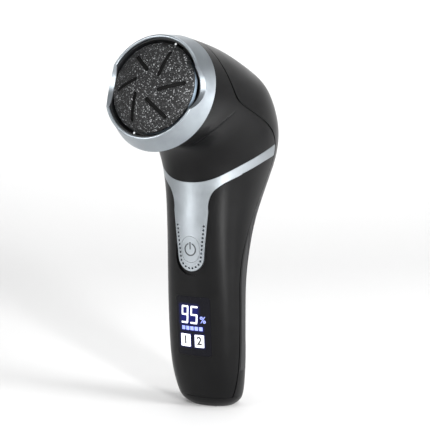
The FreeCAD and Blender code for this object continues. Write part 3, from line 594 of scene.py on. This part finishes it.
def roundedCard(left, right, low, high, corner, name):
    bpy.ops.object.select_all(action="DESELECT")
    columns, rows = display["cardGrid"]
    bpy.ops.mesh.primitive_grid_add(x_subdivisions=columns, y_subdivisions=rows, size=1,
                                    location=onPlane((left + right) / 2, (low + high) / 2),
                                    rotation=(math.radians(90), 0, 0))
    card = bpy.context.object
    card.name = name
    card.scale = ((right - left) * mm, (high - low) * mm, 1)
    bpy.ops.object.transform_apply()
    bpy.ops.object.mode_set(mode="EDIT")
    selectWhere(card, lambda place: min(place.x - left * mm, right * mm - place.x) < tiny
                and min(place.z - low * mm, high * mm - place.z) < tiny)
    bpy.ops.mesh.bevel(offset=corner * mm, segments=display["cornerSteps"], affect="VERTICES")
    endEdit()
    return card


def makeDisplay():
    # everything sits just proud of the window glass and follows its curve
    white = makeLitMaterial("displayWhite", display["white"], display["whiteStrength"])
    blue = makeLitMaterial("displayBlue", display["blue"], display["blueStrength"])
    ink = moulded("displayInk", plastics["cupBlack"])[0]
    layOnWindow(makeDigits(), white, cuts=2)
    percent = display["percent"]
    layOnWindow(makeLabel("%", percent["x"], percent["z"], percent["size"], percent["weight"],
                          "display_percent"), blue, cuts=1)
    low, high = display["cellBase"], display["cellTop"]
    cells = [roundedCard(left, left + display["cellWidth"], low, high, display["cellCorner"], "cell")
             for left in display["cells"]]
    layOnWindow(joinAll(cells, "display_level_bars"), blue)
    low, high = display["cardBase"], display["cardTop"]
    look = display["number"]
    for number, (left, right) in enumerate(display["cards"], 1):
        card = roundedCard(left, right, low, high, display["cardCorner"], "display_card_%d" % number)
        layOnWindow(card, white)
        label = makeLabel(str(number), (left + right) / 2, (low + high) / 2, look["size"], look["weight"],
                          "display_number_%d" % number)
        layOnWindow(label, ink, cuts=3, lift=look["lift"])
    print("display drawn")


makeDisplay()

# metres: near, far and half are how far the floor reaches, wall is its height once swept up
studio = {"tone": 0.80, "shade": 0.01, "blotch": 0.4, "rough": 0.7, "specular": 0.2, "world": 0.50,
          "near": 1.6, "far": 1.3, "half": 3.0, "wall": 2.6, "sweep": 0.9, "sweepSteps": 16}


def addFloor():
    # one pale sheet: the floor, swept up behind into a wall
    bpy.ops.object.select_all(action="DESELECT")
    bpy.ops.mesh.primitive_plane_add(size=2, location=(0, 0, 0))
    floor = bpy.context.object
    floor.name = "floor"
    floor.scale = (studio["half"], studio["near"], 1)
    bpy.ops.object.transform_apply()
    bpy.ops.object.mode_set(mode="EDIT")
    selectWhere(floor, lambda place: place.y > 0)
    bpy.ops.transform.translate(value=(0, studio["far"] - studio["near"], 0))
    bpy.ops.mesh.extrude_region_move(TRANSFORM_OT_translate={"value": (0, 0, studio["wall"])})
    selectWhere(floor, lambda place: place.y > 0 and place.z < tiny)
    bpy.ops.mesh.bevel(offset=studio["sweep"], segments=studio["sweepSteps"], affect="EDGES")
    endEdit()
    floor.rotation_euler = (0, 0, math.radians(camera["azimuth"]))
    bpy.ops.object.transform_apply()
    bpy.ops.object.shade_smooth()
    material, tree, shader, coords = startMaterial("paleFloor")
    pale = studio["tone"]
    tone = addNoise(tree, coords, studio["blotch"], 2)
    soft = addRamp(tree, tone, [(0.3, (pale - studio["shade"],) * 3), (0.7, (pale,) * 3)])
    tree.links.new(soft, shader.inputs["Base Color"])
    shader.inputs["Roughness"].default_value = studio["rough"]
    shader.inputs["Specular IOR Level"].default_value = studio["specular"]
    paint(floor, material)
    world = bpy.data.worlds.new("studioAir")
    scene.world = world
    world.use_nodes = True
    air = world.node_tree.nodes["Background"]
    air.inputs["Color"].default_value = (1, 1, 1, 1)
    air.inputs["Strength"].default_value = studio["world"]


# place and aim in metres: across the view, towards the camera, up
lamps = {
    "leftStrip": {"place": (-0.80, 0.43, 0.26), "aim": (0, 0, 0.10),
                  "width": 0.16, "height": 0.62, "watts": 3.0},
    "nearStrip": {"place": (0.36, 0.90, 0.22), "aim": (0, 0, 0.09),
                  "width": 0.09, "height": 0.60, "watts": 11.0},
    "rightBox": {"place": (0.74, 0.42, 0.40), "aim": (0, 0, 0.11),
                 "width": 0.30, "height": 0.60, "watts": 8.0},
    "topSoft": {"place": (0.10, -0.10, 0.95), "aim": (0, 0, 0.1),
                "width": 0.8, "height": 0.30, "watts": 2.6},
}
backPool = {"place": (0.0, -0.45, 1.35), "aim": (0, -1.25, 0.30), "cone": 80, "soft": 0.2, "watts": 34}


def addLamps():
    turn = math.radians(camera["azimuth"])
    across = Vector((math.cos(turn), math.sin(turn), 0))
    near = Vector((math.sin(turn), -math.cos(turn), 0))
    up = Vector((0, 0, 1))

    def addLamp(name, kind, lamp):
        place, aim = [across * a + near * n + up * u for a, n, u in (lamp["place"], lamp["aim"])]
        bpy.ops.object.light_add(type=kind, location=place)
        light = bpy.context.object
        light.name = name
        light.data.energy = lamp["watts"]
        light.rotation_euler = (aim - place).to_track_quat("-Z", "Y").to_euler()
        return light.data

    for name, lamp in lamps.items():
        data = addLamp(name, "AREA", lamp)
        data.shape = "RECTANGLE"
        data.size = lamp["width"]
        data.size_y = lamp["height"]
    pool = addLamp("backPool", "SPOT", backPool)
    pool.spot_size = math.radians(backPool["cone"])
    pool.spot_blend = 1.0
    pool.shadow_soft_size = backPool["soft"]


addFloor()
addLamps()
scene.view_settings.view_transform = "Standard"     # true blacks and a clean white
print("studio ready")
